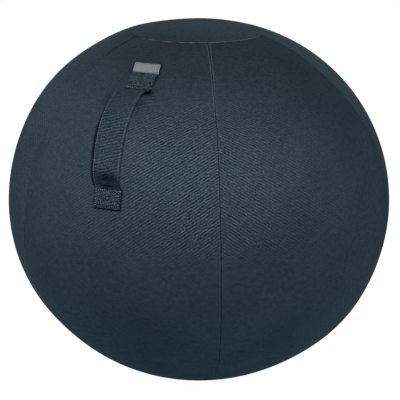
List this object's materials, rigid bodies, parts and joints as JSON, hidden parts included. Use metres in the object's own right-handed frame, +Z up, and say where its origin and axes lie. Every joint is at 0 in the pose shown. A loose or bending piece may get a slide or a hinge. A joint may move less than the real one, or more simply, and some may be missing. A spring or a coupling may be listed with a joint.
{
  "type": "sitting ball",
  "caption": "Round seat: an air-filled ball in a fitted cloth cover of upright gores and a round top panel, with a sewn strap handle and a flattened base.",
  "frame": {"origin": "middle of the flat base, on the floor", "axes": "+Z up through the middle of the ball; the strap handle faces -Y and the zip +Y"},
  "size_m": [0.6498, 0.65, 0.6051],
  "materials": {
    "cover_cloth": "matte",
    "base_cloth": "matte",
    "strap_cloth": "matte",
    "label_weave": "satin",
    "binding_tape": "matte",
    "granulate": "matte",
    "ball_skin": "satin",
    "plug_plastic": "matte",
    "zip_tape": "matte",
    "zip_teeth": "satin",
    "zip_metal": "satin"
  },
  "bodies": {
    "ball": {"cover_gore_1": "cover_cloth", "cover_gore_2": "cover_cloth", "cover_gore_3": "cover_cloth", "cover_gore_4": "cover_cloth", "cover_gore_5": "cover_cloth", "cover_top_panel": "cover_cloth", "cover_base_panel": "base_cloth", "handle_upper_end": "strap_cloth", "handle_lower_end": "strap_cloth", "label_tab": "label_weave", "top_seam_binding": "binding_tape", "base_seam_binding": "binding_tape", "gore_seam_binding_1": "binding_tape", "gore_seam_binding_2": "binding_tape", "gore_seam_binding_3": "binding_tape", "gore_seam_binding_4": "binding_tape", "gore_seam_binding_5": "binding_tape", "handle_upper_backing": "binding_tape", "handle_lower_backing": "binding_tape", "ring_sleeve": "binding_tape", "ring_filling": "granulate", "inner_ball": "ball_skin", "valve_seat": "ball_skin", "zip_tape_outer": "zip_tape", "zip_tape_inner": "zip_tape", "zip_teeth_outer": "zip_teeth", "zip_teeth_inner": "zip_teeth", "zip_top_stops": "zip_metal", "zip_bottom_stop": "zip_metal"},
    "strap_loop": {"handle_loop": "strap_cloth"},
    "slider": {"zip_slider": "zip_metal"},
    "pull_tab": {"zip_pull_tab": "zip_metal"},
    "plug": {"valve_plug": "plug_plastic"}
  },
  "joints": [
    {"name": "strap_swing", "type": "hinge", "parent": "ball", "child": "strap_loop", "pos_m": [0, -0.22374, 0.52342], "axis": [0, -0.5292, -0.8485], "range_deg": [-25, 25], "stiffness_Nm_per_rad": 0.02},
    {"name": "zip_run", "type": "hinge", "parent": "ball", "child": "slider", "pos_m": [0, 0, 0.01301], "axis": [0, 0, -1], "range_deg": [0, 131]},
    {"name": "pull_flip", "type": "hinge", "parent": "slider", "child": "pull_tab", "pos_m": [-0.11736, 0.05227, 0.0107], "axis": [0.8448, -0.3762, -0.3806], "range_deg": [0, 170]},
    {"name": "plug_pull", "type": "slide", "parent": "ball", "child": "plug", "axis": [0, 0, -1], "range_m": [0, 0.014]}
  ]
}
